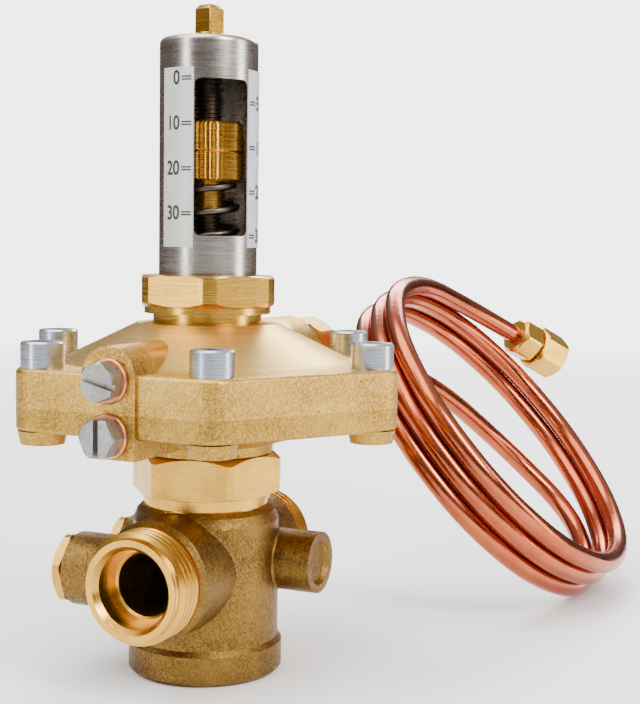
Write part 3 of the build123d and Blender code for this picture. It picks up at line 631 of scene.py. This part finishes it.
@dataclass
class PrintedScale:
    """Tick marks and numerals on one of the tube's two labels, wrapped round the tube."""

    finishes: Finishes
    name: str
    edge_deg: float
    side: int
    numerals: Sequence[int]
    tube_r: float = 12.25 * MM
    ink: float = 0.05 * MM
    zero_z: float = 144.8 * MM
    step: float = 1.06 * MM
    numeral_height: float = 3.3 * MM
    tick_length: float = 2.6 * MM
    tick_width: float = 0.36 * MM

    def build(self) -> bpy.types.Object:
        """Print the scale.

        Returns:
            The mesh object, wrapped and dressed.
        """
        parts = []
        for value in self.numerals:
            parts += self._ticks(value)
            parts.append(self._numeral(value))
        deselect()
        for part in parts:
            part.select_set(True)
        bpy.context.view_layer.objects.active = parts[0]
        bpy.ops.object.join()
        scale = bpy.context.view_layer.objects.active
        scale.name = self.name
        self._wrap(scale)
        self.finishes.dress(scale, "scale_ink")
        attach(scale, "housing")
        LOG.info("printed %s with %d numerals", self.name, len(self.numerals))
        return scale

    def _height(self, value: int) -> float:
        """Return the height of a scale value."""
        return self.zero_z - value * self.step

    def _ticks(self, value: int) -> list[bpy.types.Object]:
        """Draw the pair of lines beside one value, flat, with x as distance round the tube.

        Args:
            value: the scale value.

        Returns:
            The tick objects.
        """
        ticks = []
        for offset in (-0.33 * MM, 0.33 * MM):
            deselect()
            bpy.ops.mesh.primitive_plane_add(size=1.0)
            tick = bpy.context.object
            tick.scale = (self.tick_length, self.tick_width, 1.0)
            tick.location = (self.side * (0.25 * MM + self.tick_length / 2), self._height(value) + offset, 0)
            activate(tick)
            bpy.ops.object.transform_apply(location=True, rotation=True, scale=True)
            bpy.ops.object.mode_set(mode="EDIT")
            bpy.ops.mesh.select_all(action="SELECT")
            bpy.ops.mesh.subdivide(number_cuts=3)
            bpy.ops.mesh.extrude_region_move(TRANSFORM_OT_translate={"value": (0, 0, self.ink)})
            bpy.ops.object.mode_set(mode="OBJECT")
            ticks.append(tick)
        return ticks

    def _numeral(self, value: int) -> bpy.types.Object:
        """Write one numeral beside its tick, flat.

        Args:
            value: the number.

        Returns:
            The numeral as a mesh.
        """
        deselect()
        bpy.ops.object.text_add()
        text = bpy.context.object
        text.data.body = str(value)
        text.data.size = self.numeral_height / 0.7
        text.data.align_x = "RIGHT" if self.side < 0 else "LEFT"
        text.data.align_y = "CENTER"
        text.data.offset = 0.00009
        text.data.extrude = self.ink / 2
        gap = self.tick_length + 0.75 * MM
        text.location = (self.side * gap, self._height(value), self.ink / 2)
        text.scale = (0.86, 1.0, 1.0)
        activate(text)
        bpy.ops.object.convert(target="MESH")
        numeral = bpy.context.object
        bpy.ops.object.transform_apply(location=True, rotation=True, scale=True)
        return numeral

    def _wrap(self, scale: bpy.types.Object) -> None:
        """Roll the flat drawing round the tube, starting from the label's window edge.

        Args:
            scale: the joined flat drawing.
        """
        for vertex in scale.data.vertices:
            across, height, raised = vertex.co
            angle = math.radians(self.edge_deg) + across / self.tube_r
            radius = self.tube_r + raised
            vertex.co = (radius * math.cos(angle), radius * math.sin(angle), height)
        settle(scale, 30.0)


@dataclass
class SetpointSpring:
    """The right-hand compression spring, wound at one fixed length from its seat up to the setpoint nut."""

    finishes: Finishes
    foot_z: float = 80.0 * MM
    top_z: float = 120.85 * MM
    mean_r: float = 7.0 * MM
    wire_r: float = 0.8 * MM
    turns: int = 7
    sides: int = 12
    steps: int = 40

    def build(self) -> bpy.types.Object:
        """Wind the spring.

        Returns:
            The spring's mesh object.
        """
        deselect()
        bpy.ops.mesh.primitive_circle_add(
            vertices=self.sides,
            radius=self.wire_r,
            rotation=(math.radians(90), 0, 0),
            location=(self.mean_r, 0, self.foot_z + self.wire_r),
        )
        spring = bpy.context.object
        spring.name = "wound_setpoint_spring"
        activate(spring)
        bpy.ops.object.transform_apply(location=True, rotation=True, scale=True)
        rise = self.top_z - self.foot_z - 2 * self.wire_r
        wind(spring, rise / self.turns, self.turns, self.steps)
        self._close_ends(spring)
        settle(spring, 60.0)
        self.finishes.dress(spring, "spring_wire")
        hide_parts("setpoint_spring")
        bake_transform(spring)
        LOG.info("wound the spring, %d turns", self.turns)
        return spring

    def _close_ends(self, spring: bpy.types.Object) -> None:
        """Cap the two cut ends of the wire."""
        activate(spring)
        bpy.ops.object.mode_set(mode="EDIT")
        bpy.ops.mesh.select_all(action="DESELECT")
        bpy.ops.mesh.select_mode(type="EDGE")
        bpy.ops.mesh.select_non_manifold()
        bpy.ops.mesh.edge_face_add()
        bpy.ops.object.mode_set(mode="OBJECT")


@dataclass
class SettingSpindle:
    """The setpoint spindle: helical thread, thrust collar, journal and square key end."""

    finishes: Finishes
    foot_z: float = 97.2 * MM
    collar_z: float = 152.15 * MM
    collar_top_z: float = 153.24 * MM
    square_z: float = 156.8 * MM
    top_z: float = 163.6 * MM
    crest_r: float = 3.2 * MM
    root_r: float = 2.62 * MM
    collar_r: float = 5.4 * MM
    journal_r: float = 3.3 * MM
    square: float = 5.0 * MM
    square_turn_deg: float = -15.0
    pitch: float = 1.0 * MM
    steps: int = 28

    def build(self) -> bpy.types.Object:
        """Make the whole spindle.

        Returns:
            The spindle's mesh object.
        """
        parts = [self._thread(), self._core(), self._collar(), self._journal(), self._square_end()]
        deselect()
        for part in parts:
            part.select_set(True)
        bpy.context.view_layer.objects.active = parts[0]
        bpy.ops.object.join()
        spindle = bpy.context.view_layer.objects.active
        spindle.name = "setting_spindle"
        self._dress(spindle)
        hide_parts("adjusting_spindle")
        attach(spindle, "spindle")
        LOG.info("made the setting spindle")
        return spindle

    def _thread(self) -> bpy.types.Object:
        """Wind the thread's ridge from its foot up to the collar."""
        turns = int((self.collar_z - self.foot_z) / self.pitch) - 1
        foot = self.root_r - 0.2 * MM
        outline = ((foot, 0.02), (self.crest_r, 0.42), (self.crest_r, 0.60), (foot, 0.98))
        deselect()
        bpy.ops.mesh.primitive_circle_add(vertices=len(outline), radius=self.pitch)
        thread = bpy.context.object
        for vertex, (radius, turn) in zip(thread.data.vertices, outline):
            vertex.co = (radius, 0, self.foot_z + turn * self.pitch)
        wind(thread, self.pitch, turns, self.steps)
        activate(thread)
        bpy.ops.object.mode_set(mode="EDIT")
        bpy.ops.mesh.select_mode(type="EDGE")
        bpy.ops.mesh.select_all(action="DESELECT")
        bpy.ops.mesh.select_non_manifold()
        bpy.ops.mesh.edge_face_add()
        bpy.ops.object.mode_set(mode="OBJECT")
        settle(thread, 40.0)
        return thread

    def _turned(self, radius: float, low: float, high: float, edge: float) -> bpy.types.Object:
        """Turn one plain length of the spindle with chamfered ends.

        Args:
            radius: its radius.
            low: its lower end.
            high: its upper end.
            edge: the chamfer.

        Returns:
            The mesh object.
        """
        deselect()
        middle = (0, 0, (low + high) / 2)
        bpy.ops.mesh.primitive_cylinder_add(
            vertices=64, radius=radius, depth=high - low, location=middle
        )
        length = bpy.context.object
        settle(length, 30.0)
        soften(length, edge, 2, 40.0)
        settle(length, 30.0)
        return length

    def _core(self) -> bpy.types.Object:
        """Turn the core that the thread's ridge stands on."""
        return self._turned(self.root_r, self.foot_z - 0.2 * MM, self.collar_z + 0.1 * MM, 0.5 * MM)

    def _collar(self) -> bpy.types.Object:
        """Turn the thrust collar."""
        return self._turned(self.collar_r, self.collar_z, self.collar_top_z, 0.2 * MM)

    def _journal(self) -> bpy.types.Object:
        """Turn the journal that runs in the tube's top."""
        return self._turned(self.journal_r, self.collar_top_z - 0.2 * MM, self.square_z, 0.25 * MM)

    def _square_end(self) -> bpy.types.Object:
        """Mill the square that the setting key fits, with its turned corners and top."""
        deselect()
        bpy.ops.mesh.primitive_cube_add(size=1.0)
        end = bpy.context.object
        end.scale = (self.square, self.square, self.top_z - self.square_z + 0.2 * MM)
        end.location = (0, 0, (self.top_z + self.square_z - 0.2 * MM) / 2)
        end.rotation_euler = (0, 0, math.radians(self.square_turn_deg))
        settle(end, 30.0)
        activate(end)
        bpy.ops.object.mode_set(mode="EDIT")
        bpy.ops.mesh.select_mode(type="FACE")
        bpy.ops.mesh.select_all(action="DESELECT")
        bpy.ops.object.mode_set(mode="OBJECT")
        for face in end.data.polygons:
            face.select = face.normal.z > 0.9
        bpy.ops.object.mode_set(mode="EDIT")
        bpy.ops.mesh.extrude_region_move(TRANSFORM_OT_translate={"value": (0, 0, 0)})
        bpy.ops.transform.resize(value=(0.68, 0.68, 1.0), center_override=(0, 0, self.top_z))
        bpy.ops.object.mode_set(mode="OBJECT")
        for vertex in end.data.vertices:
            if vertex.co.z > self.top_z - 0.01 * MM and math.hypot(vertex.co.x, vertex.co.y) > 3.0 * MM:
                vertex.co.z -= 1.1 * MM
        soften(end, 0.18 * MM, 3, 25.0)
        settle(end, 30.0)
        return end

    def _dress(self, spindle: bpy.types.Object) -> None:
        """Give the thread inside the tube a dark brown colour, painted shade of the tube's inside, and the
        end above the tube a brass one.
        """
        self.finishes.dress(spindle, "spindle_painted_shade")
        spindle.data.materials.append(self.finishes.made["brass_upright"])
        last = len(spindle.data.materials) - 1
        for face in spindle.data.polygons:
            face.material_index = last if face.center.z > self.collar_z else 0


@dataclass
class Studio:
    """A pale floor, soft lights and the camera."""

    azimuth_deg: float = 28.52
    distance: float = 0.3384
    eye_z: float = 0.1062
    yaw_deg: float = 23.85
    pitch_deg: float = -4.53
    roll: float = -0.0135
    lens: float = 69.87
    backdrop: float = 4.5
    floor_r: float = 1.2

    def build(self) -> None:
        """Set up the world, the floor, the lights and the camera."""
        self._world()
        self._floor()
        self._lights()
        self._camera()
        LOG.info("studio ready")

    def _toward(self, right: float, toward: float, up: float) -> Vector:
        """Place a point by the camera's own right and toward-camera directions.

        Args:
            right: metres to the camera's right of the valve's axis.
            toward: metres from the axis towards the camera.
            up: height.

        Returns:
            The point in the valve's frame.
        """
        a = math.radians(self.azimuth_deg)
        x = right * math.cos(a) + toward * math.sin(a)
        y = right * math.sin(a) - toward * math.cos(a)
        return Vector((x, y, up))

    def _world(self) -> None:
        """Light the surroundings pale above, and dark and warm round the horizon."""
        world = bpy.data.worlds.new("studio")
        bpy.context.scene.world = world
        world.use_nodes = True
        tree = world.node_tree
        coords = tree.nodes.new("ShaderNodeTexCoord")
        parts = tree.nodes.new("ShaderNodeSeparateXYZ")
        tree.links.new(coords.outputs["Generated"], parts.inputs[0])
        ramp = tree.nodes.new("ShaderNodeValToRGB")
        stops = ramp.color_ramp.elements
        stops[0].position = 0.50
        stops[0].color = (0.11, 0.070, 0.062, 1)
        stops[1].position = 0.90
        stops[1].color = (0.80, 0.80, 0.84, 1)
        middle = stops.new(0.62)
        middle.color = (0.20, 0.17, 0.155, 1)
        scale = tree.nodes.new("ShaderNodeMapRange")
        scale.inputs["From Min"].default_value = -1.0
        tree.links.new(parts.outputs[2], scale.inputs["Value"])
        tree.links.new(scale.outputs["Result"], ramp.inputs["Fac"])
        seen = tree.nodes["Background"]
        seen.inputs["Color"].default_value = (0.97, 0.97, 0.98, 1)
        seen.inputs["Strength"].default_value = self.backdrop
        room = tree.nodes.new("ShaderNodeBackground")
        room.inputs["Strength"].default_value = 1.0
        tree.links.new(ramp.outputs["Color"], room.inputs["Color"])
        path = tree.nodes.new("ShaderNodeLightPath")
        mix = tree.nodes.new("ShaderNodeMixShader")
        tree.links.new(path.outputs["Is Camera Ray"], mix.inputs[0])
        tree.links.new(room.outputs[0], mix.inputs[1])
        tree.links.new(seen.outputs[0], mix.inputs[2])
        tree.links.new(mix.outputs[0], tree.nodes["World Output"].inputs["Surface"])

    def _floor(self) -> None:
        """Lay the pale floor that the valve stands on, thinning out into the backdrop."""
        deselect()
        bpy.ops.mesh.primitive_circle_add(vertices=96, radius=self.floor_r, fill_type="NGON")
        floor = bpy.context.object
        floor.name = "floor"
        g = Graph("floor_paper")
        fine = g.noise(g.mapped((300, 300, 300)), 3.0)
        radius, _ = g.from_axis()
        fade = g.spread(radius, 0.35 * self.floor_r, 0.97 * self.floor_r, 1.0, 0.0)
        g.join(g.blend(fine, (0.94, 0.94, 0.94), (0.91, 0.91, 0.91)), g.shader.inputs["Base Color"])
        g.join(fade, g.shader.inputs["Alpha"])
        g.shader.inputs["Roughness"].default_value = 0.9
        g.shader.inputs["Specular IOR Level"].default_value = 0.2
        floor.data.materials.append(g.material)

    def _area(
        self, name: str, place: Vector, size: tuple[float, float], watts: float, colour: Colour
    ) -> None:
        """Hang one soft light that looks at the valve.

        Args:
            name: the light's name.
            place: where it hangs.
            size: its width and height.
            watts: its power.
            colour: its tint.
        """
        data = bpy.data.lights.new(name, "AREA")
        data.shape = "RECTANGLE"
        data.size, data.size_y = size
        data.energy = watts
        data.color = colour
        light = bpy.data.objects.new(name, data)
        bpy.context.collection.objects.link(light)
        light.location = place
        light.visible_camera = False
        aim = Vector((0.01, 0.03, 0.08)) - place
        light.rotation_euler = aim.to_track_quat("-Z", "Y").to_euler()

    def _lights(self) -> None:
        """Hang the even overhead light, the key, the side strips and the back light."""
        data = bpy.data.lights.new("even", "SUN")
        data.energy = 4.2
        data.angle = math.radians(60)
        even = bpy.data.objects.new("even", data)
        bpy.context.collection.objects.link(even)
        even.rotation_euler = (math.radians(18), math.radians(-12), 0)
        self._area("key", self._toward(0.36, 0.42, 0.48), (0.22, 0.34), 5.2, (1.0, 0.98, 0.95))
        self._area("left_strip", self._toward(-0.50, 0.36, 0.26), (0.08, 0.60), 1.8, (0.97, 0.98, 1.0))
        self._area("right_strip", self._toward(0.60, 0.12, 0.16), (0.14, 0.50), 2.0, (1.0, 0.99, 0.97))
        self._area("back", self._toward(0.16, -0.58, 0.48), (0.55, 0.26), 5.0, (1.0, 1.0, 1.0))

    def _camera(self) -> None:
        """Set the camera level with the spring tube, looking a little down."""
        data = bpy.data.cameras.new("camera")
        data.lens = self.lens
        data.sensor_width = 36.0
        data.clip_start = 0.01
        data.clip_end = 20.0
        camera = bpy.data.objects.new("camera", data)
        bpy.context.collection.objects.link(camera)
        camera.location = self._toward(0.0, self.distance, self.eye_z)
        camera.rotation_euler = (
            math.radians(90 + self.pitch_deg),
            self.roll,
            math.radians(self.yaw_deg),
        )
        bpy.context.scene.camera = camera


def main() -> None:
    """Dress the valve, add its new pieces and set up the studio."""
    logging.basicConfig(level=logging.INFO, format="%(name)s: %(message)s")
    finishes = Finishes().build()
    Housing(finishes).dress()
    MachinedBody(finishes).dress()
    PrintedScale(finishes, "left_scale_print", -80.0, -1, (0, 10, 20, 30)).build()
    PrintedScale(finishes, "right_scale_print", -10.0, 1, (5, 15, 25, 35)).build()
    SetpointSpring(finishes).build()
    SettingSpindle(finishes).build()
    Studio().build()


if __name__ == "__main__":
    main()
